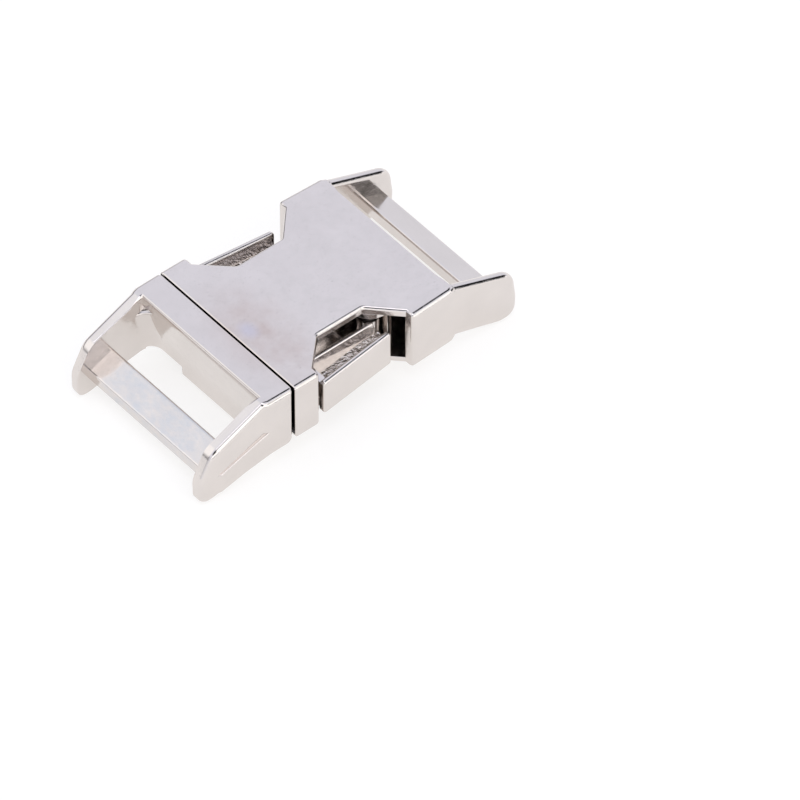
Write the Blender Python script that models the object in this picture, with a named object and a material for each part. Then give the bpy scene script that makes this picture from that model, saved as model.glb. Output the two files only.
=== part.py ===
"""Die-cast metal side release buckle, fastened, lying face up.

X runs along the buckle from the plug's strap end to the receiver's strap end, Y runs across it
and Z is up. The origin is at the middle of the footprint, on the surface that the buckle rests on.
"""
import math

import bmesh
import bpy
from mathutils import Matrix, Vector

MM = 0.001
MERGE = 0.001 * MM

# Whole buckle
STRAP_SLOT = 25.2 * MM          # clear width between the ears, for 25 mm webbing
BODY_HALF = 15.0 * MM           # half of the width over the collar
BODY_DEEP = 10.5 * MM           # top plate's outside to bottom plate's outside
REST_DROP = 12.9 * MM           # top plate down to the surface under the ears
MOUTH_X = -12.2 * MM            # receiver's mouth face, measured from the footprint's middle
GAP = 0.3 * MM                  # running gap between separate pieces
SEAT_GAP = 0.2 * MM             # gap around riveted and pinned pieces
BITE = 0.5 * MM                 # how far joined shapes run into each other
SLIVER = 0.1 * MM               # how far a cut runs into the hollow beside it
PAST = 1.0 * MM                 # how far a cut runs past the outer faces

# Receiver plates and cavity, X from the mouth and Z down from the top plate
COLLAR_LONG = 4.4 * MM
COLLAR_INNER_HALF = 13.3 * MM
NOTCH_LIP_HALF = 13.4 * MM       # where the notch meets the collar
NOTCH_START = 9.0 * MM
NOTCH_END = 17.3 * MM
NOTCH_HALF = 8.9 * MM
SHOULDER_X = 21.5 * MM
SHOULDER_HALF = 14.9 * MM
SHOULDER_LIP_HALF = 13.3 * MM
BLOCK_END = 29.7 * MM
BLOCK_END_HALF = 14.6 * MM
BLOCK_CORNER = 0.8 * MM          # chamfer where the block meets the ear
TOP_PLATE_END = 29.4 * MM
BOTTOM_PLATE_END = 27.6 * MM
TOP_THICK = 1.3 * MM
BOTTOM_THICK = 1.0 * MM
CAVITY_END = 25.0 * MM
CAVITY_END_HALF = 11.6 * MM
WINDOW_START, WINDOW_END, WINDOW_HALF = 4.8 * MM, 21.1 * MM, 5.2 * MM
PAD_HIGH = 1.2 * MM
PAD_CORNER = 0.3 * MM
MOUTH_PAD = (0.15 * MM, 3.55 * MM, 6.4 * MM)       # start, end, half width
STRAP_PAD = (21.2 * MM, 26.9 * MM, 6.8 * MM)

# Drooping ears and strap bars
EAR_OUTER_HALF = 14.3 * MM
EAR_INNER_HALF = STRAP_SLOT / 2
PLUG_EAR_OUTER_HALF = 14.6 * MM
BAR_SLOPE = 0.42                # how far a bar's faces drop for each unit that they run out
BAR_CORNER = 0.4 * MM
RECEIVER_BAR = (35.2 * MM, 39.7 * MM, -6.7 * MM, 2.5 * MM)     # inner edge, outer edge, top, thickness
PLUG_BAR = (-10.2 * MM, -14.7 * MM, -6.9 * MM, 2.4 * MM)
RECEIVER_EAR = [(26.0, -0.5), (29.9, -0.3), (38.8, -3.8), (40.2, -4.6), (41.0, -6.0), (41.4, -8.6),
                (41.3, -10.6), (40.7, -12.1), (39.8, -12.9), (38.4, -12.9), (30.2, -10.1), (26.0, -10.1)]
PLUG_EAR = [(-0.9, -0.1), (-4.9, -0.3), (-14.2, -4.0), (-15.7, -4.9), (-16.6, -6.5), (-17.0, -9.4),
            (-16.8, -11.5), (-16.0, -12.9), (-13.6, -12.9), (-8.3, -12.4), (-2.2, -11.4), (-0.9, -10.6)]

# Plug body
PLUG_FACE = -0.7 * MM           # plug's face, so the seam is this wide
PLUG_SLOT_TOP = -4.9 * MM
PLUG_SLOT_BOTTOM = -3.3 * MM
PLUG_BAND_DEEP = 1.2 * MM        # straight edge of the band, above the sloped wall
PLUG_WALL_SLOPE_END = -8.0 * MM
PLUG_BOTTOM = -11.5 * MM
PLUG_FACE_BOTTOM = -10.6 * MM
PLUG_BOTTOM_CORNER = -2.0 * MM
PLUG_PAD = (-3.9 * MM, -1.5 * MM, 6.6 * MM)
PLUG_PAD_BOTTOM = PLUG_BOTTOM - BITE

# Plug tongue, inside the receiver
TONGUE_TOP = -TOP_THICK - GAP
TONGUE_PLATE = 1.0 * MM
ROOT_END = 3.0 * MM
ROOT_HALF = 12.9 * MM
TONGUE_HALF = 6.6 * MM
CORE_HALF = 4.5 * MM
CORE_BOTTOM = -7.4 * MM
RAIL_INNER_HALF = 3.7 * MM
RAIL_BOTTOM = -BODY_DEEP + BOTTOM_THICK + GAP
HEAD_START = 16.2 * MM
HEAD_END = 21.4 * MM
HEAD_WALL = 0.7 * MM
RAIL_END = HEAD_END - 0.2 * MM
HEAD_HALF = 10.3 * MM
LOWER_LUG_THICK = 0.9 * MM

# Cover plate and its rivet
COVER_HALF = RAIL_INNER_HALF - GAP
COVER_THICK = 0.8 * MM
COVER_START, COVER_END = 3.3 * MM, 19.4 * MM
RIVET_X = 7.4 * MM
RIVET_SHANK_RADIUS = 0.9 * MM
RIVET_HEAD_RADIUS = 1.8 * MM
RIVET_HEAD_HIGH = 0.5 * MM
RIVET_DEEP = 2.4 * MM

# Release arms and their pins
PIVOT_X, PIVOT_Y = 18.8 * MM, 8.2 * MM
PIN_RADIUS = 0.75 * MM
PIN_HOLE_RADIUS = PIN_RADIUS + SEAT_GAP
ARM_START = 5.3 * MM
ARM_SHOULDER_HALF = 14.9 * MM
ARM_TIP_X, ARM_TIP_HALF = 18.5 * MM, 13.4 * MM
ARM_TOP, ARM_BOTTOM = -2.8 * MM, -8.9 * MM
ARM_INNER_HALF = 9.2 * MM
ARM_INNER_TOP, ARM_INNER_BOTTOM = -3.1 * MM, -8.0 * MM
ARM_WALL = 1.1 * MM
ARM_WEB = (-6.2 * MM, -5.2 * MM)
ARM_LUG_RADIUS = 1.6 * MM
ARM_TIP_ROUND = 0.4 * MM
ARM_WALL_INNER = 0.8 * MM

ZINC_COLOUR = (0.82, 0.81, 0.83, 1.0)
BAR_STEEL_COLOUR = (0.70, 0.70, 0.73, 1.0)


def material(name, colour, roughness, metallic):
    made = bpy.data.materials.new(name)
    made.use_nodes = True
    shader = made.node_tree.nodes["Principled BSDF"]
    shader.inputs["Base Color"].default_value = colour
    shader.inputs["Roughness"].default_value = roughness
    shader.inputs["Metallic"].default_value = metallic
    return made


def world(x, y, z):
    """Mouth-based X and top-based Z turned into world coordinates."""
    return Vector((x + MOUTH_X, y, z + REST_DROP))


def prism(name, corners, shift):
    """Closed solid from a planar ring of points swept along one vector."""
    work = bmesh.new()
    face = work.faces.new([work.verts.new(c) for c in corners])
    swept = bmesh.ops.extrude_face_region(work, geom=[face])
    moved = [v for v in swept["geom"] if isinstance(v, bmesh.types.BMVert)]
    bmesh.ops.translate(work, verts=moved, vec=shift)
    bmesh.ops.recalc_face_normals(work, faces=work.faces)
    mesh = bpy.data.meshes.new(name)
    work.to_mesh(mesh)
    work.free()
    made = bpy.data.objects.new(name, mesh)
    bpy.context.scene.collection.objects.link(made)
    return made


def plan_prism(name, outline, low, high):
    """Outline in X and Y, raised from low to high."""
    return prism(name, [world(x, y, low) for x, y in outline], Vector((0, 0, high - low)))


def side_prism(name, outline, first, last):
    """Outline in X and Z, swept across from first to last in Y."""
    return prism(name, [world(x, first, z) for x, z in outline], Vector((0, last - first, 0)))


def block(name, x0, x1, y0, y1, z0, z1):
    return plan_prism(name, [(x0, y0), (x1, y0), (x1, y1), (x0, y1)], z0, z1)


def cylinder(name, x, y, radius, low, high, sides=24):
    ring = [(x + radius * math.cos(math.tau * k / sides),
             y + radius * math.sin(math.tau * k / sides)) for k in range(sides)]
    return plan_prism(name, ring, low, high)


def both_sides(half_outline):
    """Outline across the centre line from the points of its +Y half."""
    return half_outline + [(x, -y) for x, y in reversed(half_outline)]


def combine(target, others, operation):
    """Join or cut target with each of the others, and drop them."""
    for other in others:
        step = target.modifiers.new(operation.title(), 'BOOLEAN')
        step.operation = operation
        step.object = other
        with bpy.context.temp_override(object=target, active_object=target):
            bpy.ops.object.modifier_apply(modifier=step.name)
        bpy.data.objects.remove(other)
    return target


def tidy(obj, mat):
    """Merge doubled points and flat triangles left by the cuts, and assign the material."""
    work = bmesh.new()
    work.from_mesh(obj.data)
    bmesh.ops.remove_doubles(work, verts=work.verts, dist=MERGE)
    bmesh.ops.dissolve_limit(work, angle_limit=math.radians(0.2), verts=work.verts, edges=work.edges)
    bmesh.ops.recalc_face_normals(work, faces=work.faces)
    work.to_mesh(obj.data)
    work.free()
    obj.data.materials.clear()
    obj.data.materials.append(mat)
    return obj


def move_origin(obj, point):
    """Put the object's origin at a world point without moving its shape."""
    obj.data.transform(Matrix.Translation(-point))
    obj.location = point


def pad(name, span, low, high):
    start, end, half = span
    chamfer = PAD_CORNER
    return plan_prism(name, both_sides([(start, half - chamfer), (start + chamfer, half),
                                        (end - chamfer, half), (end, half - chamfer)]), low, high)


def bar(name, inner_x, outer_x, top, thick):
    """Strap bar: a slab that droops like the ears, with its corners broken."""
    out = 1 if outer_x > inner_x else -1
    drop = BAR_SLOPE * abs(outer_x - inner_x)
    cut, dip = BAR_CORNER, BAR_SLOPE * BAR_CORNER
    outline = [(inner_x + out * cut, top - dip), (outer_x - out * cut, top - drop + dip),
               (outer_x, top - drop - cut), (outer_x, top - drop - thick + cut),
               (outer_x - out * cut, top - drop - thick + dip),
               (inner_x + out * cut, top - thick - dip), (inner_x, top - thick + cut),
               (inner_x, top - cut)]
    reach = EAR_INNER_HALF + BITE
    return side_prism(name, outline, -reach, reach)


for old in list(bpy.data.objects):
    bpy.data.objects.remove(old)

plated = material("plated_zinc", ZINC_COLOUR, 0.12, 1.0)
arm_plated = material("arm_plated_zinc", ZINC_COLOUR, 0.18, 1.0)
steel = material("rivet_steel", BAR_STEEL_COLOUR, 0.15, 1.0)
cover_steel = material("cover_steel", BAR_STEEL_COLOUR, 0.15, 1.0)

# Receiver: flat plates with side notches, a collar at the mouth and a block at the strap end
body_outline = both_sides([
    (0.0, BODY_HALF), (COLLAR_LONG, BODY_HALF), (COLLAR_LONG, NOTCH_LIP_HALF),
    (NOTCH_START, NOTCH_HALF), (NOTCH_END, NOTCH_HALF), (SHOULDER_X, SHOULDER_LIP_HALF),
    (SHOULDER_X, SHOULDER_HALF), (BLOCK_END - BLOCK_CORNER, BLOCK_END_HALF),
    (BLOCK_END, BLOCK_END_HALF - BLOCK_CORNER / 2)])
receiver = plan_prism("receiver_body", body_outline, -BODY_DEEP, 0.0)
strap_end_cut = side_prism("strap_end_cut", [
    (TOP_PLATE_END, PAST), (TOP_PLATE_END, -TOP_THICK), (BOTTOM_PLATE_END, -BODY_DEEP + BOTTOM_THICK),
    (BOTTOM_PLATE_END, -BODY_DEEP - PAST), (BLOCK_END + PAST, -BODY_DEEP - PAST),
    (BLOCK_END + PAST, PAST)], -EAR_INNER_HALF, EAR_INNER_HALF)
cavity_low, cavity_high = -BODY_DEEP + BOTTOM_THICK, -TOP_THICK
mouth_cut = block("mouth_cut", -PAST, COLLAR_LONG + SLIVER, -COLLAR_INNER_HALF, COLLAR_INNER_HALF,
                  cavity_low, cavity_high)
side_cut = block("side_cut", COLLAR_LONG, SHOULDER_X, -BODY_HALF - PAST, BODY_HALF + PAST,
                 cavity_low, cavity_high)
deep_cut = block("deep_cut", SHOULDER_X - SLIVER, CAVITY_END, -CAVITY_END_HALF, CAVITY_END_HALF,
                 cavity_low, cavity_high)
window_cut = block("window_cut", WINDOW_START, WINDOW_END, -WINDOW_HALF, WINDOW_HALF,
                   -BODY_DEEP - PAST, cavity_low + SLIVER)
combine(receiver, [strap_end_cut, mouth_cut, side_cut, deep_cut, window_cut], 'DIFFERENCE')

receiver_ear = [(x * MM, z * MM) for x, z in RECEIVER_EAR]
receiver_parts = [side_prism("ear_left", receiver_ear, EAR_INNER_HALF, EAR_OUTER_HALF),
                  side_prism("ear_right", receiver_ear, -EAR_OUTER_HALF, -EAR_INNER_HALF),
                  bar("strap_bar", *RECEIVER_BAR),
                  pad("mouth_pad", MOUTH_PAD, -BODY_DEEP - PAD_HIGH, -BODY_DEEP + BITE),
                  pad("strap_pad", STRAP_PAD, -BODY_DEEP - PAD_HIGH, -BODY_DEEP + BITE)]
combine(receiver, receiver_parts, 'UNION')
tidy(receiver, plated)

# Plug: mouth wall, drooping ears, strap bar and the tongue that runs into the receiver
plug_wall = [(PLUG_FACE, 0.0), (PLUG_SLOT_TOP, 0.0), (PLUG_SLOT_TOP, -PLUG_BAND_DEEP),
             (PLUG_SLOT_BOTTOM, PLUG_WALL_SLOPE_END), (PLUG_SLOT_BOTTOM, PLUG_BOTTOM),
             (PLUG_BOTTOM_CORNER, PLUG_BOTTOM), (PLUG_FACE, PLUG_FACE_BOTTOM)]
plug = side_prism("plug_body", plug_wall, -BODY_HALF, BODY_HALF)
plug_ear = [(x * MM, z * MM) for x, z in PLUG_EAR]
head_half = [(HEAD_START, TONGUE_HALF), (NOTCH_END + GAP, NOTCH_HALF - SLIVER),
             (NOTCH_END + 4 * GAP, HEAD_HALF - BITE), (HEAD_END - 2 * BITE, HEAD_HALF),
             (HEAD_END, HEAD_HALF)]
lug_inner_half = CORE_HALF - BITE
lug_half = ([(HEAD_START, lug_inner_half)] + head_half[:-1]
            + [(HEAD_END - GAP, HEAD_HALF - 2 * SLIVER), (HEAD_END - GAP, lug_inner_half)])
plug_parts = [
    side_prism("plug_ear_left", plug_ear, EAR_INNER_HALF, PLUG_EAR_OUTER_HALF),
    side_prism("plug_ear_right", plug_ear, -PLUG_EAR_OUTER_HALF, -EAR_INNER_HALF),
    bar("plug_bar", *PLUG_BAR),
    pad("plug_pad", PLUG_PAD, PLUG_PAD_BOTTOM, PLUG_BOTTOM + BITE),
    block("tongue_root", PLUG_FACE - BITE, ROOT_END, -ROOT_HALF, ROOT_HALF, RAIL_BOTTOM, TONGUE_TOP),
    block("tongue_top", ROOT_END - BITE, HEAD_START + BITE, -TONGUE_HALF, TONGUE_HALF,
          TONGUE_TOP - TONGUE_PLATE, TONGUE_TOP),
    block("tongue_core", ROOT_END - BITE, RAIL_END, -CORE_HALF, CORE_HALF, CORE_BOTTOM, TONGUE_TOP - BITE),
    block("rail_left", ROOT_END - BITE, RAIL_END, RAIL_INNER_HALF, CORE_HALF,
          RAIL_BOTTOM, CORE_BOTTOM + BITE),
    block("rail_right", ROOT_END - BITE, RAIL_END, -CORE_HALF, -RAIL_INNER_HALF,
          RAIL_BOTTOM, CORE_BOTTOM + BITE),
    plan_prism("head_top", both_sides(head_half), TONGUE_TOP - TONGUE_PLATE, TONGUE_TOP),
    block("head_end", HEAD_END - HEAD_WALL, HEAD_END, -HEAD_HALF, HEAD_HALF,
          RAIL_BOTTOM, TONGUE_TOP - TONGUE_PLATE / 2),
    plan_prism("lug_left", lug_half, RAIL_BOTTOM, RAIL_BOTTOM + LOWER_LUG_THICK),
    plan_prism("lug_right", [(x, -y) for x, y in lug_half], RAIL_BOTTOM, RAIL_BOTTOM + LOWER_LUG_THICK)]
combine(plug, plug_parts, 'UNION')
plug_holes = [cylinder("pin_hole", PIVOT_X, side * PIVOT_Y, PIN_HOLE_RADIUS, -BODY_DEEP, 0.0)
              for side in (1, -1)]
plug_holes.append(cylinder("rivet_hole", RIVET_X, 0.0, RIVET_SHANK_RADIUS + SEAT_GAP,
                           CORE_BOTTOM - PAST, CORE_BOTTOM + RIVET_DEEP))
combine(plug, plug_holes, 'DIFFERENCE')
tidy(plug, plated)

# Cover plate between the rails, held by one domed rivet
cover_top = CORE_BOTTOM - SEAT_GAP
cover_low = cover_top - COVER_THICK
cover = block("cover_plate", COVER_START, COVER_END, -COVER_HALF, COVER_HALF, cover_low, cover_top)
combine(cover, [cylinder("cover_hole", RIVET_X, 0.0, RIVET_SHANK_RADIUS + SEAT_GAP,
                         cover_low - PAST, cover_top + PAST)], 'DIFFERENCE')
tidy(cover, cover_steel)

head_top = cover_low - SEAT_GAP
rivet_profile = [(0.0, CORE_BOTTOM + RIVET_DEEP - GAP), (RIVET_SHANK_RADIUS, CORE_BOTTOM + RIVET_DEEP - GAP),
                 (RIVET_SHANK_RADIUS, head_top), (RIVET_HEAD_RADIUS, head_top)]
rivet_profile += [(RIVET_HEAD_RADIUS * math.cos(math.radians(a)),
                   head_top - SLIVER - (RIVET_HEAD_HIGH - SLIVER) * math.sin(math.radians(a)))
                  for a in (0, 25, 50, 75)]
rivet_profile.append((0.0, head_top - RIVET_HEAD_HIGH))
work = bmesh.new()
ring = [work.verts.new(world(RIVET_X + r, 0.0, z)) for r, z in rivet_profile]
edges = [work.edges.new(pair) for pair in zip(ring, ring[1:])]
bmesh.ops.spin(work, geom=ring + edges, cent=world(RIVET_X, 0.0, 0.0), axis=(0, 0, 1),
               angle=math.tau, steps=24, use_merge=True)
bmesh.ops.remove_doubles(work, verts=work.verts, dist=MERGE)
bmesh.ops.recalc_face_normals(work, faces=work.faces)
rivet_mesh = bpy.data.meshes.new("rivet")
work.to_mesh(rivet_mesh)
work.free()
rivet_mesh.materials.append(steel)
rivet = bpy.data.objects.new("rivet", rivet_mesh)
bpy.context.scene.collection.objects.link(rivet)

# Release arms: tapered levers on plain pins near the tongue's end, open channels above and below
for side, label in ((1, "left"), (-1, "right")):
    def across(points):
        return [(x, side * y) for x, y in points]

    wall = ARM_WALL
    taper = (ARM_SHOULDER_HALF - ARM_TIP_HALF) / (ARM_TIP_X - ARM_START)
    outer = across([(ARM_START, ARM_SHOULDER_HALF), (ARM_TIP_X, ARM_TIP_HALF),
                    (ARM_TIP_X + ARM_TIP_ROUND, ARM_TIP_HALF - BITE),
                    (ARM_TIP_X + ARM_TIP_ROUND, ARM_TIP_HALF - wall),
                    (ARM_START, ARM_SHOULDER_HALF - wall)])
    shoulder = across([(ARM_START, ARM_INNER_HALF), (ARM_START + wall, ARM_INNER_HALF),
                       (ARM_START + wall, ARM_SHOULDER_HALF - wall * taper - 3 * SLIVER),
                       (ARM_START, ARM_SHOULDER_HALF - 3 * SLIVER)])
    web_inner = ARM_INNER_HALF + SLIVER
    web = across([(ARM_START + 2 * SLIVER, web_inner), (ARM_START + 2 * SLIVER, ARM_SHOULDER_HALF - BITE),
                  (ARM_TIP_X, ARM_TIP_HALF - BITE), (PIVOT_X + PIN_RADIUS, PIVOT_Y + ARM_LUG_RADIUS * 0.75),
                  (PIVOT_X - ARM_LUG_RADIUS * 0.75, web_inner)])
    inner_end, inner_far = PIVOT_X - 2 * BITE, ARM_INNER_HALF + ARM_WALL_INNER
    inner = across([(ARM_START, ARM_INNER_HALF), (inner_end, ARM_INNER_HALF),
                    (inner_end, inner_far), (ARM_START, inner_far)])
    arm = plan_prism("release_arm_" + label, outer, ARM_BOTTOM, ARM_TOP)
    combine(arm, [plan_prism("web", web, *ARM_WEB),
                  plan_prism("shoulder", shoulder, ARM_INNER_BOTTOM, ARM_INNER_TOP),
                  plan_prism("inner", inner, ARM_INNER_BOTTOM, ARM_INNER_TOP),
                  cylinder("lug", PIVOT_X, side * PIVOT_Y, ARM_LUG_RADIUS,
                           ARM_INNER_BOTTOM, ARM_INNER_TOP)], 'UNION')
    combine(arm, [cylinder("bore", PIVOT_X, side * PIVOT_Y, PIN_HOLE_RADIUS, -BODY_DEEP, 0.0)],
            'DIFFERENCE')
    tidy(arm, arm_plated)
    move_origin(arm, world(PIVOT_X, side * PIVOT_Y, (ARM_TOP + ARM_BOTTOM) / 2))

    pin = cylinder("pivot_pin_" + label, PIVOT_X, side * PIVOT_Y, PIN_RADIUS,
                   RAIL_BOTTOM + SLIVER, TONGUE_TOP - SLIVER)
    tidy(pin, steel)
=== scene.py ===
import math

import bmesh
import bpy
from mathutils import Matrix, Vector


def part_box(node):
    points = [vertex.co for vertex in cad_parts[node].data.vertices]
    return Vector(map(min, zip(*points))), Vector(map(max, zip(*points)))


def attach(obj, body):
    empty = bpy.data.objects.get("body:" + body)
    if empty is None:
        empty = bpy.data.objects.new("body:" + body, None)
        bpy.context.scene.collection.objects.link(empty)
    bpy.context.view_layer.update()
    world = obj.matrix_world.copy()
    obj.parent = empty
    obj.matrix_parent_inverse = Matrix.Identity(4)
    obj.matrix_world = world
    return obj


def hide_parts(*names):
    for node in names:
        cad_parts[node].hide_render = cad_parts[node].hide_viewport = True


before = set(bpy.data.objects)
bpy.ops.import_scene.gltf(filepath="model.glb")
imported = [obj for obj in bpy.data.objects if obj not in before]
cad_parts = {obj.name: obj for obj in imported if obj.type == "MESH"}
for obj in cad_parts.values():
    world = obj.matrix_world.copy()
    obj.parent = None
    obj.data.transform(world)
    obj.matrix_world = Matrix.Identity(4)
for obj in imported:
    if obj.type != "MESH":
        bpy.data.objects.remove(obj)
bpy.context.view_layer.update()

# Receiver
# The flat upper shell that the plug slides into: a zinc die casting, polished and nickel plated.
# It is cast in one piece with its drooping ears and strap bar. Lengths here are in mm, from the
# mouth face, the middle line and the top plate, which the frame gives.
MM = 0.001
MOUTH_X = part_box("receiver_body")[0].x
TOP_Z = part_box("receiver_body")[1].z
BODY_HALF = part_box("receiver_body")[1].y / MM
BODY_DEEP = 10.5
COLLAR_END, BLOCK_START = 4.5, 21.5
EAR_HALF, SLOT_HALF = 14.3, 12.6
WALLS = (-1.3, -9.5)    # underside of the top plate, upper side of the bottom plate


def place(x, y, z):
    """A point of the buckle, given in mm, in the frame."""
    return Vector((MOUTH_X + x * MM, y * MM, TOP_Z + z * MM))


def measure(point):
    """The way back from the frame to mm."""
    return Vector(((point.x - MOUTH_X) / MM, point.y / MM, (point.z - TOP_Z) / MM))


def pick(piece):
    """Select this piece alone and make it the active one."""
    bpy.ops.object.select_all(action='DESELECT')
    piece.select_set(True)
    bpy.context.view_layer.objects.active = piece


def rounded(corners, steps=8):
    """Outline points from corners (a, b, radius), with an arc at each corner that has a radius."""
    points = []
    for k, (a, b, radius) in enumerate(corners):
        here = Vector((a, b))
        if not radius:
            points.append(here)
            continue
        back = (Vector(corners[k - 1][:2]) - here).normalized()
        ahead = (Vector(corners[(k + 1) % len(corners)][:2]) - here).normalized()
        half = back.angle(ahead) / 2
        centre = here + (back + ahead).normalized() * radius / math.sin(half)
        start = here + back * radius / math.tan(half) - centre
        end = here + ahead * radius / math.tan(half) - centre
        first = math.atan2(start.y, start.x)
        turn = math.remainder(math.atan2(end.y, end.x) - first, math.tau)
        for step in range(steps + 1):
            angle = first + turn * step / steps
            points.append(centre + radius * Vector((math.cos(angle), math.sin(angle))))
    return points


def both_sides(half):
    """An outline round both sides, from the half at positive y."""
    return list(half) + [(x, -y, *rest) for x, y, *rest in reversed(half)]


def blank(name, outline, start, end, upright=False):
    """A filled ring set on the outline and drawn out: XY outlines rise from start to end, and
    upright XZ outlines run across from start to end."""
    bpy.ops.object.select_all(action='DESELECT')
    bpy.ops.mesh.primitive_circle_add(vertices=len(outline), fill_type='NGON')
    piece = bpy.context.object
    piece.name = name
    for vertex, (a, b) in zip(piece.data.vertices, outline):
        vertex.co = place(a, start, b) if upright else place(a, b, start)
    way = Vector((0, end - start, 0)) if upright else Vector((0, 0, end - start))
    bpy.ops.object.mode_set(mode='EDIT')
    bpy.ops.mesh.select_all(action='SELECT')
    bpy.ops.mesh.extrude_region_move(TRANSFORM_OT_translate={"value": way * MM})
    bpy.ops.mesh.select_all(action='SELECT')
    bpy.ops.mesh.normals_make_consistent(inside=False)
    bpy.ops.object.mode_set(mode='OBJECT')
    return piece


def box(name, x0, x1, half, z0, z1):
    """A block across the middle line, as far out on either side."""
    return blank(name, [(x0, -half), (x1, -half), (x1, half), (x0, half)], z0, z1)


def clean(piece):
    """Merge doubled points and the flat splits that a cut leaves."""
    pick(piece)
    bpy.ops.object.mode_set(mode='EDIT')
    bpy.ops.mesh.select_all(action='SELECT')
    bpy.ops.mesh.remove_doubles(threshold=0.002 * MM)
    bpy.ops.mesh.dissolve_limited(angle_limit=math.radians(0.1))
    bpy.ops.object.mode_set(mode='OBJECT')


def work_on(piece, others, operation):
    """Weld the others to the piece, or cut them out of it."""
    for other in others:
        step = piece.modifiers.new(operation.title(), 'BOOLEAN')
        step.operation, step.object = operation, other
        pick(piece)
        bpy.ops.object.modifier_apply(modifier=step.name)
        bpy.data.objects.remove(other)
    clean(piece)


def soften(piece, rules, segments=4):
    """Round chosen edges. A rule is a radius in mm and a test of an edge's middle, direction and
    fold, which is above 0 on an outer corner and below 0 in an inner one."""
    work = bmesh.new()
    work.from_mesh(piece.data)
    layer = work.edges.layers.float.new("bevel_weight_edge")
    widest = max(radius for radius, test in rules)
    for edge in work.edges:
        fold = math.degrees(edge.calc_face_angle_signed(0.0)) if len(edge.link_faces) == 2 else 0.0
        if abs(fold) < 20:
            continue
        middle = measure((edge.verts[0].co + edge.verts[1].co) / 2)
        way = (edge.verts[1].co - edge.verts[0].co).normalized()
        for radius, test in rules:
            if test(middle, way, fold):
                edge[layer] = radius / widest
    work.to_mesh(piece.data)
    work.free()
    step = piece.modifiers.new("Rounding", 'BEVEL')
    step.limit_method, step.width, step.segments = 'WEIGHT', widest * MM, segments
    step.use_clamp_overlap = False
    pick(piece)
    bpy.ops.object.modifier_apply(modifier=step.name)
    piece.data.attributes.remove(piece.data.attributes["bevel_weight_edge"])


def finish_shading(piece):
    """Smooth shading over the rounded edges, with the flats kept flat."""
    pick(piece)
    bpy.ops.object.shade_smooth_by_angle(angle=math.radians(35))
    step = piece.modifiers.new("Flats", 'WEIGHTED_NORMAL')
    step.keep_sharp = True
    step.weight = 100
    bpy.ops.object.modifier_apply(modifier=step.name)


def near(value, *marks):
    """Whether a length lies at one of the marks."""
    return any(abs(value - mark) < 0.02 for mark in marks)


# Corners from above, as x, y and corner radius: collar, side notch, block.
RECEIVER_PLAN = both_sides([
    (0, BODY_HALF, 0), (COLLAR_END, BODY_HALF, 0), (COLLAR_END, 13.3, 0), (9.0, 8.9, 0.8),
    (17.3, 8.9, 0.8), (BLOCK_START, 13.3, 0), (BLOCK_START, 14.9, 0), (28.9, 14.6, 0),
    (29.8, 14.2, 0), (29.8, 11.4, 0), (31, 11.4, 0)])
receiver = blank("receiver_shell", rounded(RECEIVER_PLAN), -BODY_DEEP, 0)
soften(receiver, [
    (0.7, lambda m, way, fold: abs(way.z) > 0.9 and fold > 30 and m.x < 29),
    (0.3, lambda m, way, fold: abs(way.z) > 0.9 and near(m.x, 0)),
    (0.5, lambda m, way, fold: near(m.z, 0)),
    (0.8, lambda m, way, fold: near(m.z, 0) and abs(m.y) > 14.3),
    (0.3, lambda m, way, fold: near(m.z, 0) and near(m.x, 0)),
    (0.3, lambda m, way, fold: near(m.z, -BODY_DEEP)),
    (1.1, lambda m, way, fold: near(m.z, -BODY_DEEP)
     and (abs(m.y) > 14.35 or near(m.x, 0, COLLAR_END)))], 5)

# Corners of an ear from the side, as x, z and corner radius.
RECEIVER_EAR = [(24, -0.8, 0), (29.9, -0.3, 0), (40.75, -4.58, 3.2), (41.38, -9.4, 4), (41.2, -12.9, 1.9),
                (38.3, -12.9, 1.5), (30.2, -10.1, 0), (24, -10.1, 0)]
EAR_ROOT = [(26, -1.4), (30.5, -1.4), (30.5, -9.6), (26, -9.6)]
DRAFT = math.tan(math.radians(1.0))


def draft(piece, outer_half=None):
    """Lean the inner faces in towards their foot, so that the casting leaves its die."""
    for vertex in piece.data.vertices:
        at = measure(vertex.co)
        share = (outer_half - abs(at.y)) / (outer_half - SLOT_HALF) if outer_half else 1
        vertex.co.y += math.copysign(DRAFT * at.z * MM * share, at.y)


# Each ear grows out of a thicker root, which leaves metal for the slot's rounded corners.
ear_pieces = []
for side in (-1, 1):
    ear = blank("receiver_ear", rounded(RECEIVER_EAR), side * SLOT_HALF, side * EAR_HALF, upright=True)
    soften(ear, [(0.8, lambda m, way, fold: near(abs(m.y), SLOT_HALF, EAR_HALF))], 6)
    draft(ear, EAR_HALF)
    root = blank("ear_root", EAR_ROOT, side * (SLOT_HALF - 1.3), side * (SLOT_HALF + 0.8), upright=True)
    ear_pieces += [ear, root]
work_on(receiver, ear_pieces, 'UNION')

# The cutter stops a hair short of the ears' inner faces, so that no two faces lie in one plane.
cut_half = SLOT_HALF - 0.02
slot = blank("receiver_slot", [(29.4, 1), (29.4, WALLS[0]), (27.6, WALLS[1]), (27.6, -14),
                               (45, -14), (45, 1)], -cut_half, cut_half, upright=True)
soften(slot, [(1.1, lambda m, way, fold: abs(m.y) > 12 and m.x < 30 and abs(way.z) > 0.5)], 6)
draft(slot)
work_on(receiver, [slot], 'DIFFERENCE')
soften(receiver, [
    (0.25, lambda m, way, fold: fold > 45 and abs(m.y) < 11.4 and 27.5 < m.x < 29.6)])
# Polishing leaves the top plate flat, also where the rounding of the slot's rim bulges.
for vertex in receiver.data.vertices:
    vertex.co.z = min(vertex.co.z, TOP_Z)


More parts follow.
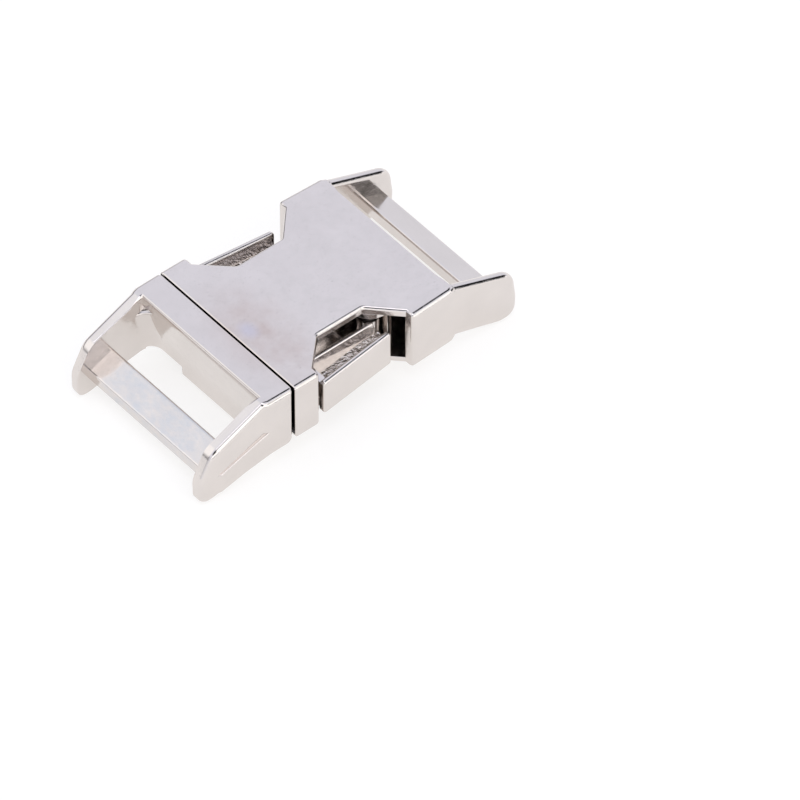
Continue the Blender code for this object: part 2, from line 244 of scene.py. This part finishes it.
def strap_bar(name, inner_x, outer_x, top, thick):
    """A slab between the ears that droops as they do, rounded more below than above."""
    drop = 0.42 * abs(outer_x - inner_x)
    radius = 0.45
    corners = [(inner_x, top, radius), (outer_x, top - drop, radius),
               (outer_x, top - drop - thick, radius * 1.4), (inner_x, top - thick, radius * 1.4)]
    return blank(name, rounded(corners), -SLOT_HALF - 0.5, SLOT_HALF + 0.5, upright=True)


def pad(name, x0, x1, half, low, high):
    """A raised pad on the underside, with its corners and lower edge rounded."""
    corners = [(x0, half, 0.5), (x1, half, 0.5), (x1, -half, 0.5), (x0, -half, 0.5)]
    made = blank(name, rounded(corners, 5), low, high)
    soften(made, [(0.3, lambda m, way, fold: near(m.z, low))])
    return made


PAD_FOOT, PAD_ROOT = -BODY_DEEP - 1.2, -BODY_DEEP + 0.4
work_on(receiver, [strap_bar("receiver_bar", 35.2, 39.7, -6.7, 2.5),
                   pad("mouth_pad", 0.2, 3.55, 6.4, PAD_FOOT, PAD_ROOT),
                   pad("strap_pad", 21.3, 26.9, 6.8, PAD_FOOT, PAD_ROOT)], 'UNION')

# The room inside, open at the mouth and in both side notches, and the window below it.
hollows = [box("mouth_room", -1, 4.6, 13.2, WALLS[1], WALLS[0]),
           box("side_room", 4.4, BLOCK_START, 16, WALLS[1], WALLS[0]),
           box("arm_tip_room", 21.4, 23.6, 13.2, WALLS[1], WALLS[0]),
           box("deep_room", 23.5, 25, 11.6, WALLS[1], WALLS[0]),
           box("window", 4.8, 21.1, 5.2, -11.5, -9.4)]
work_on(receiver, hollows, 'DIFFERENCE')
soften(receiver, [
    (0.14, lambda m, way, fold: fold > 45 and near(m.z, *WALLS) and COLLAR_END < m.x < 21.4),
    (0.14, lambda m, way, fold: fold > 45 and near(m.z, -BODY_DEEP)
     and abs(m.y) < 5.3 and 4.7 < m.x < 21.2),
    (0.12, lambda m, way, fold: fold > 45 and near(m.x, 0) and abs(m.y) < 13.4)], 3)
finish_shading(receiver)


SEAM = 0.3


def plating(name, tone=(0.74, 0.69, 0.66), gloss=0.09, wear=0.3, cast=0.0, tarnish=0.0):
    """Bright metal with faint waves, dots and light scratches, and painted shade, near black, in the gap
    between plug and receiver. Tarnish adds the stains of the two shells, and cast the rough skin of the
    arms' channels, which no polishing wheel reaches."""
    made = bpy.data.materials.new(name)
    made.use_nodes = True
    nodes, links = made.node_tree.nodes, made.node_tree.links
    shader = nodes["Principled BSDF"]
    shader.inputs["Metallic"].default_value = 1.0
    where = nodes.new("ShaderNodeTexCoord")
    spread = nodes.new("ShaderNodeMapping")
    spread.inputs["Scale"].default_value = (1000, 1000, 1000)
    links.new(where.outputs["Object"], spread.inputs["Vector"])

    def noise(scale, detail=2.0, stretch=None):
        made_noise = nodes.new("ShaderNodeTexNoise")
        made_noise.inputs["Scale"].default_value = scale
        made_noise.inputs["Detail"].default_value = detail
        source = spread
        if stretch:
            source = nodes.new("ShaderNodeMapping")
            source.inputs["Scale"].default_value = stretch
            links.new(spread.outputs["Vector"], source.inputs["Vector"])
        links.new(source.outputs["Vector"], made_noise.inputs["Vector"])
        return made_noise.outputs["Fac"]

    def ramp(value, stops):
        made_ramp = nodes.new("ShaderNodeValToRGB")
        bar = made_ramp.color_ramp
        while len(bar.elements) < len(stops):
            bar.elements.new(0.5)
        for stop, (at, colour) in zip(bar.elements, stops):
            stop.position = at
            stop.color = (*colour, 1.0) if isinstance(colour, tuple) else (colour, colour, colour, 1.0)
        links.new(value, made_ramp.inputs["Fac"])
        return made_ramp.outputs["Color"]

    def bump(height, strength, reach, below=None):
        made_bump = nodes.new("ShaderNodeBump")
        made_bump.inputs["Strength"].default_value = strength
        made_bump.inputs["Distance"].default_value = reach * MM
        links.new(height, made_bump.inputs["Height"])
        if below:
            links.new(below, made_bump.inputs["Normal"])
        return made_bump.outputs["Normal"]

    def blend(factor, first, second):
        made_mix = nodes.new("ShaderNodeMixRGB")
        links.new(factor, made_mix.inputs["Fac"])
        links.new(first, made_mix.inputs["Color1"])
        made_mix.inputs["Color2"].default_value = (*second, 1)
        return made_mix.outputs["Color"]

    def combine(operation, first, second):
        made_sum = nodes.new("ShaderNodeMath")
        made_sum.operation = operation
        for value, socket in zip((first, second), made_sum.inputs):
            if isinstance(value, (int, float)):
                socket.default_value = value
            else:
                links.new(value, socket)
        return made_sum.outputs["Value"]

    def spot(centre, reach_x, reach_y, most):
        """A stain on the top plate that fades out at its reach."""
        shift = nodes.new("ShaderNodeMapping")
        middle = place(*centre) / MM
        scale = (1 / reach_x, 1 / reach_y, 1 / reach_x)
        shift.inputs["Scale"].default_value = scale
        shift.inputs["Location"].default_value = [-m * s for m, s in zip(middle, scale)]
        links.new(spread.outputs["Vector"], shift.inputs["Vector"])
        away = nodes.new("ShaderNodeVectorMath")
        away.operation = 'LENGTH'
        links.new(shift.outputs["Vector"], away.inputs[0])
        step = nodes.new("ShaderNodeMapRange")
        step.interpolation_type = 'SMOOTHSTEP'
        step.inputs["From Min"].default_value = 1.0
        step.inputs["From Max"].default_value = 0.1
        step.inputs["To Max"].default_value = most
        links.new(away.outputs["Value"], step.inputs["Value"])
        return step.outputs["Result"]

    pink_stain, blue_stain, grey_stain = (0.62, 0.53, 0.49), (0.58, 0.59, 0.72), (0.62, 0.625, 0.65)
    # Near black, painted in the gap between plug and receiver as its shade.
    painted_gap_shade_black = (0.012, 0.012, 0.014)
    cloud = ramp(noise(0.16, 3.0), [(0.3, tuple(c * 0.95 for c in tone)), (0.7, tone)])
    split = nodes.new("ShaderNodeSeparateXYZ")
    links.new(spread.outputs["Vector"], split.inputs["Vector"])
    across = combine('ABSOLUTE', split.outputs["Y"], 0)
    if tarnish:
        # A pinkish cloud and a blue spot on the top plate, and the mottled skin of the plug's bar.
        patchy = ramp(noise(0.35, 3.0), [(0.3, 0.35), (0.65, 1.0)])
        stain = combine('MULTIPLY', spot((3, -4, 0), 8, 15, tarnish), patchy)
        cloud = blend(stain, cloud, pink_stain)
        cloud = blend(spot((2.2, -2, 0), 2.0, 2.6, 0.5 * tarnish), cloud, blue_stain)
        inwards = ramp(combine('DIVIDE', across, BODY_HALF), [(0.5, 1.0), (0.78, 0.0)])
        past_slot = combine('LESS_THAN', split.outputs["X"], MOUTH_X / MM - 9.9)
        bar_skin = combine('MULTIPLY', past_slot, inwards)
        mottle = ramp(noise(0.9, 5.0, (1.0, 0.6, 1.0)), [(0.3, 0.0), (0.8, 1.0)])
        cloud = blend(combine('MULTIPLY', bar_skin, mottle), cloud, grey_stain)
    # Painted shade: the walls and the floor of the gap between plug and receiver are coloured near black,
    # standing in for the shade that falls in that gap.
    painted_gap_shade = nodes.new("ShaderNodeMath")
    painted_gap_shade.operation = 'COMPARE'
    painted_gap_shade.inputs[1].default_value = MOUTH_X / MM - SEAM / 2
    painted_gap_shade.inputs[2].default_value = SEAM / 2 + 0.01
    links.new(split.outputs["X"], painted_gap_shade.inputs[0])
    links.new(blend(painted_gap_shade.outputs["Value"], cloud, painted_gap_shade_black), shader.inputs["Base Color"])
    haze = ramp(noise(0.9, 4.0), [(0.3, gloss), (0.75, gloss + 0.08 + 0.25 * wear)])
    links.new(haze, shader.inputs["Roughness"])
    # Waves of the casting, scratches along it, and small dots.
    surface = bump(noise(0.22, 1.0), 0.3, 0.12)
    surface = bump(noise(2.2, 3.0, (0.25, 1.0, 1.0)), 0.25 * wear, 0.03, surface)
    surface = bump(ramp(noise(3.2, 1.0), [(0.68, 1.0), (0.74, 0.0)]), 0.35, 0.02, surface)
    if tarnish:
        surface = bump(noise(2.6, 4.0, (0.35, 1.0, 1.0)), 1.0, 0.03, surface)
        links.new(combine('MULTIPLY', bar_skin, 0.5), surface.node.inputs["Strength"])
    if cast:
        # The channel's floor lies low and between the two walls, and the outer wall leans in.
        from_wall = combine('ADD', across, combine('MULTIPLY', split.outputs["X"], 0.1136))
        low = combine('LESS_THAN', split.outputs["Z"], TOP_Z / MM - 5.15)
        outer_strip = combine('MULTIPLY', combine('LESS_THAN', from_wall, 12.95),
                              combine('GREATER_THAN', from_wall, 10.5))
        outer_strip = combine('MULTIPLY', outer_strip, combine('GREATER_THAN', across, 10.05))
        floor_of_channel = combine('MULTIPLY', low, outer_strip)
        surface = bump(noise(1.7, 2.0), 1.0, 0.9, surface)
        links.new(combine('MULTIPLY', floor_of_channel, cast), surface.node.inputs["Strength"])
    links.new(surface, shader.inputs["Normal"])
    return made


def dress(piece, material, body, node):
    """Give the piece its finish, its body and place in the assembly, and hide the part of model.glb that
    it takes the place of.
    """
    piece.data.materials.clear()
    piece.data.materials.append(material)
    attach(piece, body)
    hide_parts(node)


body_plating = plating("nickel_plate", tarnish=0.9)
dress(receiver, body_plating, "body", "receiver_body")

# Plug
# The other zinc casting, with the same plate: a mouth wall with its own ears, which have a thin ledge
# outside, a strap bar, and the tongue that slides into the receiver and carries the arms' pivots.
PLUG_SIDE = [(-SEAM, 0.0, 0), (-5.3, 0.0, 1.0), (-14.6, -4.1, 3.2), (-16.95, -8.6, 4),
             (-16.95, -12.9, 1.6), (-14.6, -12.9, 3), (-9.0, -11.5, 6), (-4.2, -10.7, 3),
             (-SEAM, -10.6, 1.3)]
PLUG_PLAN = both_sides([(-0.2, 15), (-13.2, 14.8), (-13.8, 14.6), (-18, 14.6)])
EAR_RECESS = [(-4.1, 15.1), (-5.6, 14.6), (-18, 14.6), (-18, 16), (-4.1, 16)]
LEDGE_START, LEDGE_END = (-4.0, -5.5), (-13.2, -8.55)
ledge_slope = (LEDGE_END[1] - LEDGE_START[1]) / (LEDGE_END[0] - LEDGE_START[0])


def ledge_top(x):
    """The height of the ledge, which tapers away from the mouth."""
    return LEDGE_START[1] + ledge_slope * (x - LEDGE_START[0])


plug = blank("plug_shell", rounded(PLUG_SIDE), -15.5, 15.5, upright=True)
work_on(plug, [blank("plug_plan", PLUG_PLAN, -14, 1)], 'INTERSECT')
for side in (1, -1):
    recess = blank("ear_recess", [(x, side * y) for x, y in EAR_RECESS], -13.5, 1.5)
    below = [(0, ledge_top(0)), (0, -14), (-19, -14), (-19, ledge_top(-19))]
    work_on(recess, [blank("ledge", below, side * 14, side * 17, upright=True)], 'DIFFERENCE')
    work_on(plug, [recess], 'DIFFERENCE')
soften(plug, [
    (0.85, lambda m, way, fold: fold > 45 and abs(m.y) > 14.45 and abs(way.y) < 0.5),
    (0.16, lambda m, way, fold: near(m.x, -SEAM) and abs(m.y) < 14),
    (0.1, lambda m, way, fold: fold > 45 and m.x < -4.5 and abs(m.z - ledge_top(m.x)) < 0.1)], 6)

# The slot has wide corners below, and its upper part is cut square into the mouth wall.
plug_slot = blank("plug_slot", [(-4.9, 1), (-4.9, -1.2), (-3.5, -7.4), (-3.3, -9.2), (-3.3, -14),
                                (-20, -14), (-20, 1)], -SLOT_HALF, SLOT_HALF, upright=True)
soften(plug_slot, [
    (2.2, lambda m, way, fold: near(abs(m.y), SLOT_HALF) and m.x > -5 and abs(way.z) > 0.5)], 8)
plug_slot_top = blank("plug_slot_top", [(-4.9, 1), (-4.9, -1.2), (-4.65, -2.4), (-20, -8.8), (-20, 1)],
                      -SLOT_HALF, SLOT_HALF, upright=True)
draft(plug_slot)
draft(plug_slot_top)
work_on(plug, [plug_slot, plug_slot_top], 'DIFFERENCE')
soften(plug, [
    (0.3, lambda m, way, fold: fold > 45 and abs(m.y) < SLOT_HALF - 0.05 and m.x < -3.2 and m.z > -1),
    (0.5, lambda m, way, fold: fold > 45 and abs(m.y) < SLOT_HALF + 0.05 and m.x < -3.2
     and (m.z < -1 or near(abs(m.y), SLOT_HALF)))], 5)

# The tongue is a core with a channel below it between two rails, which have a foot over the window's
# edges, and a head of two plates that the pins go through.
TONGUE_LOW, TONGUE_TOP = -9.2, -1.6
HEAD_PLAN = [(16.2, 6.6), (17.6, 8.8), (18.5, 9.8), (20.4, 10.3)]
PIVOT_X, PIVOT_Y, PIN_HOLE = 18.8, 8.2, 0.95
tongue = box("tongue", -1.2, 3.0, 12.9, TONGUE_LOW, TONGUE_TOP)
tongue_pieces = [
    box("top", 2.5, 16.7, 6.6, -2.6, TONGUE_TOP),
    box("core", 2.5, 21.2, 4.5, -7.4, -2.1),
    box("rails", 2.5, 21.2, 4.5, TONGUE_LOW, -6.9),
    box("rail_foot", 4.4, 20.9, 5.8, TONGUE_LOW, -8.6),
    blank("head", both_sides(HEAD_PLAN + [(21.4, 10.3)]), -2.6, TONGUE_TOP),
    box("head_end", 20.7, 21.4, 10.3, TONGUE_LOW, -2.1),
    blank("lugs", both_sides(HEAD_PLAN + [(21.1, 10.1)]), TONGUE_LOW, -8.3)]
for shape in tongue_pieces:
    work_on(tongue, [shape], 'UNION')
work_on(tongue, [box("channel", 3.0, 20.7, 3.7, -10, -7.4)], 'DIFFERENCE')
soften(tongue, [(0.12, lambda m, way, fold: fold > 45 and m.x > 3.1)], 2)
work_on(plug, [tongue, strap_bar("plug_bar", -10.2, -14.7, -6.9, 2.4),
               pad("plug_pad", -3.25, -1.5, 6.6, -12.0, -10.2)], 'UNION')


def rod(name, x, y, z, radius, length, sides=48):
    """An upright round bar with its middle at x, y, z."""
    bpy.ops.object.select_all(action='DESELECT')
    bpy.ops.mesh.primitive_cylinder_add(vertices=sides, radius=radius * MM, depth=length * MM,
                                        location=place(x, y, z))
    bpy.ops.object.transform_apply(location=True)
    made = bpy.context.object
    made.name = name
    return made


for y in (-PIVOT_Y, PIVOT_Y):
    work_on(plug, [rod("pin_hole", PIVOT_X, y, -5, PIN_HOLE, 12)], 'DIFFERENCE')
finish_shading(plug)
dress(plug, body_plating, "body", "plug_body")

# Release arms
# Cast levers in the side notches, pressed in by finger and thumb: an outer wall, a web and an inner
# wall, left rough in the channels. They turn on pins near their far ends.
OUTER_WALL, INNER_WALL = (-8.9, -2.8), (-8.0, -3.1)
ARM_OUTER = [(5.3, -14.9, 0.45), (18.9, -13.35, 0.5), (18.9, -12.25, 0.45), (6.4, -13.7, 0),
             (5.3, -13.8, 0)]
ARM_SHOULDER = [(5.3, -9.2, 0.3), (5.3, -14.5, 0), (6.4, -14.4, 0), (6.4, -9.2, 0)]
right_arm = blank("arm_right", rounded(ARM_OUTER, 5), *OUTER_WALL)
soften(right_arm, [(0.45, lambda m, way, fold: fold > 45 and near(m.z, *OUTER_WALL))], 5)
shoulder = blank("arm_shoulder", rounded(ARM_SHOULDER, 5), *INNER_WALL)
inner_wall = blank("arm_inner", [(5.35, -9.2), (18.2, -9.2), (18.2, -10.0), (5.35, -10.0)], *INNER_WALL)
soften(inner_wall, [(0.3, lambda m, way, fold: near(m.z, *INNER_WALL) and abs(way.x) > 0.9)])
web = blank("arm_web", [(5.5, -9.3), (5.5, -14.4), (18.5, -12.9), (19.4, -9.4), (17.6, -9.3)], -6.2, -5.2)
lug = rod("arm_lug", PIVOT_X, -PIVOT_Y, -5.55, 1.6, 4.9, 64)
work_on(right_arm, [shoulder, inner_wall, web, lug], 'UNION')
work_on(right_arm, [rod("pin_hole", PIVOT_X, -PIVOT_Y, -5, PIN_HOLE, 12)], 'DIFFERENCE')
finish_shading(right_arm)
arm_plating = plating("arm_nickel_plate", gloss=0.1, cast=0.9)

pick(right_arm)
bpy.ops.object.duplicate()
left_arm = bpy.context.object
left_arm.name = "arm_left"
bpy.ops.object.mode_set(mode='EDIT')
bpy.ops.mesh.select_all(action='SELECT')
bpy.ops.transform.resize(value=(1, -1, 1), center_override=(0, 0, 0))
bpy.ops.mesh.normals_make_consistent(inside=False)
bpy.ops.object.mode_set(mode='OBJECT')
dress(right_arm, arm_plating, "release_arm_right", "release_arm_right")
dress(left_arm, arm_plating, "release_arm_left", "release_arm_left")

# Cover plate
# A stamped steel strip between the tongue's rails, seen through the window in the underside. Its
# edges are eased, and the rivet goes through a hole near one end.
RIVET_X = 7.4
cover = box("cover_strip", 3.3, 19.4, 3.4, -8.4, -7.6)
soften(cover, [(0.15, lambda m, way, fold: True)], 3)
work_on(cover, [rod("rivet_hole", RIVET_X, 0, -8, 1.1, 4)], 'DIFFERENCE')
finish_shading(cover)
dress(cover, plating("brushed_strip", (0.62, 0.61, 0.63), 0.22, 0.8), "body", "cover_plate")

# Rivet and pins
# A domed steel rivet holds the cover plate to the tongue. Plain steel pins go through the tongue's
# head and carry the arms, and stay hidden inside the receiver.
steel = plating("bright_steel", (0.66, 0.65, 0.66), 0.16, 0.4)
rivet = rod("rivet_domed", RIVET_X, 0, -8.85, 1.8, 0.5, 64)
soften(rivet, [(0.4, lambda m, way, fold: near(m.z, -9.1))], 6)
work_on(rivet, [rod("rivet_shank", RIVET_X, 0, -7.05, 0.9, 3.5)], 'UNION')
finish_shading(rivet)
dress(rivet, steel, "body", "rivet")

for side, y in (("left", PIVOT_Y), ("right", -PIVOT_Y)):
    pin = rod("pin_" + side, PIVOT_X, y, -5.4, 0.75, 7.4)
    soften(pin, [(0.12, lambda m, way, fold: True)], 3)
    finish_shading(pin)
    dress(pin, steel, "body", "pivot_pin_" + side)

# Studio
# A white table under a pale ceiling that the top plate mirrors, with lamps that whiten the edges and
# dark screens that draw the thin black lines on them. The camera looks from far off, as the photo does.
bpy.ops.object.select_all(action='DESELECT')
bpy.ops.mesh.primitive_plane_add(size=3, location=(0, 0, -0.0001))
table = bpy.context.object
table.name = "table"
table_white = bpy.data.materials.new("table_white")
table_white.use_nodes = True
surface = table_white.node_tree.nodes["Principled BSDF"]
surface.inputs["Base Color"].default_value = (0.3, 0.3, 0.3, 1)
surface.inputs["Roughness"].default_value = 0.9
surface.inputs["Emission Color"].default_value = (1, 0.99, 0.98, 1)
surface.inputs["Emission Strength"].default_value = 0.74
table.data.materials.append(table_white)

world = bpy.data.worlds.new("studio_walls")
bpy.context.scene.world = world
world.use_nodes = True
nodes, links = world.node_tree.nodes, world.node_tree.links
where = nodes.new("ShaderNodeTexCoord")
split = nodes.new("ShaderNodeSeparateXYZ")
links.new(where.outputs["Generated"], split.inputs["Vector"])


def fade(value, start, end, low=0.0, high=1.0):
    """A soft step from low to high as the value goes from start to end."""
    step = nodes.new("ShaderNodeMapRange")
    step.interpolation_type = 'SMOOTHSTEP'
    step.inputs["From Min"].default_value = start
    step.inputs["From Max"].default_value = end
    step.inputs["To Min"].default_value = low
    step.inputs["To Max"].default_value = high
    links.new(value, step.inputs["Value"])
    return step.outputs["Result"]


def towards(direction):
    """How far a ray points along a direction."""
    dot = nodes.new("ShaderNodeVectorMath")
    dot.operation = 'DOT_PRODUCT'
    dot.inputs[1].default_value = direction
    links.new(where.outputs["Generated"], dot.inputs[0])
    return dot.outputs["Value"]


def joined(operation, first, second):
    """Two light patterns worked into one."""
    made = nodes.new("ShaderNodeMath")
    made.operation = operation
    links.new(first, made.inputs[0])
    links.new(second, made.inputs[1])
    return made.outputs["Value"]


def mixed(factor, first, second):
    """The first colour, and the second where the factor is 1."""
    made = nodes.new("ShaderNodeMixRGB")
    links.new(factor, made.inputs["Fac"])
    for value, name in ((first, "Color1"), (second, "Color2")):
        if isinstance(value, tuple):
            made.inputs[name].default_value = (*value, 1)
        else:
            links.new(value, made.inputs[name])
    return made.outputs["Color"]


# The pale room. The ring is what the plug's slanting bar mirrors, and the near lamp with its gap and
# the far wall light and shade the faces that lean to one side.
height = split.outputs["Z"]
NEAR_SIDE = (0.15, -0.989, 0)
SCREEN_BLACK = (0.012, 0.012, 0.016)
sky = mixed(fade(height, 0.1, 0.6), (0.90, 0.92, 1.0), (0.92, 0.945, 1.07))
ring = joined('MULTIPLY', fade(height, 0.765, 0.80), fade(height, 0.9, 0.86))
sky = mixed(ring, sky, (0.9, 0.95, 1.05))
near_lamp = joined('MULTIPLY', fade(towards(NEAR_SIDE), 0.35, 0.6), fade(height, 0.97, 0.9))
sky = mixed(near_lamp, sky, (1.6, 1.6, 1.6))
lamp_gap = fade(towards((0.683, -0.683, 0.259)), 0.983, 0.992)
sky = mixed(lamp_gap, sky, (0.9, 0.92, 1.0))
far_wall = joined('MULTIPLY', fade(height, 0.0, 0.06), fade(height, 0.5, 0.3))
far_wall = joined('MULTIPLY', far_wall, fade(towards((-0.53, 0.85, 0)), 0.3, 0.7, 0.0, 0.8))
sky = mixed(far_wall, sky, (0.1, 0.095, 0.09))
sky = mixed(fade(height, -0.05, 0.0), (1.0, 0.99, 0.98), sky)

# The dark screens: low along the near side, to the right of it, over the top plate's near edges,
# round the camera itself, above the arm's outer wall, and for the slanting edges of the notches.
skirting = joined('MULTIPLY', fade(height, 0.035, 0.05), fade(height, 0.14, 0.11))
skirting = joined('MULTIPLY', skirting, fade(towards(NEAR_SIDE), 0.5, 0.7))
curtain = fade(towards((0.865, -0.36, 0.35)), 0.94, 0.955)
curtain = joined('MULTIPLY', curtain, fade(height, 0.14, 0.165))
top_strip = fade(towards((0.4427, 0.17, 0.88)), 0.970, 0.976)
behind_camera = fade(towards((-0.4427, -0.5259, 0.7262)), 0.958, 0.976)
arm_strip = fade(towards((0.314, -0.66, 0.68)), 0.9905, 0.994)
notch_strip = fade(towards((-0.52, -0.47, 0.713)), 0.95, 0.965)
dark = skirting
for screen in (curtain, top_strip, behind_camera, arm_strip, notch_strip):
    dark = joined('MAXIMUM', dark, screen)
sky = mixed(dark, sky, SCREEN_BLACK)

# Two small lamps: one for the mouth rims and one for the corners next to them.
rim_lamp = fade(towards((-0.62, 0.53, 0.58)), 0.84, 0.97)
sky = mixed(rim_lamp, sky, (1.3, 1.3, 1.32))
corner_lamp = fade(towards((-0.2, -0.62, 0.76)), 0.985, 0.99)
corner_lamp = joined('MULTIPLY', corner_lamp, fade(height, 0.818, 0.804))
sky = mixed(corner_lamp, sky, (1.8, 1.8, 1.85))
links.new(sky, nodes["Background"].inputs["Color"])
nodes["Background"].inputs["Strength"].default_value = 1.0

bpy.ops.object.light_add(type='AREA', location=(-0.1, -0.1, 0.7))
key = bpy.context.object
key.data.size = 0.3
key.data.energy = 0.3
key.rotation_euler = (-key.location).to_track_quat('-Z', 'Y').to_euler()

TARGET = Vector((0.00544, -0.01662, 0.0))
VIEW = Vector((-0.4427, -0.5259, 0.7262))
REACH = 1.5
PICTURE_WIDTH = 0.11268
bpy.ops.object.camera_add(location=TARGET + REACH * VIEW)
camera = bpy.context.object
camera.rotation_euler = (-VIEW).to_track_quat('-Z', 'Y').to_euler()
camera.data.lens = camera.data.sensor_width * REACH / PICTURE_WIDTH
camera.data.clip_end = 10
bpy.context.scene.camera = camera
bpy.context.scene.view_settings.view_transform = 'Standard'
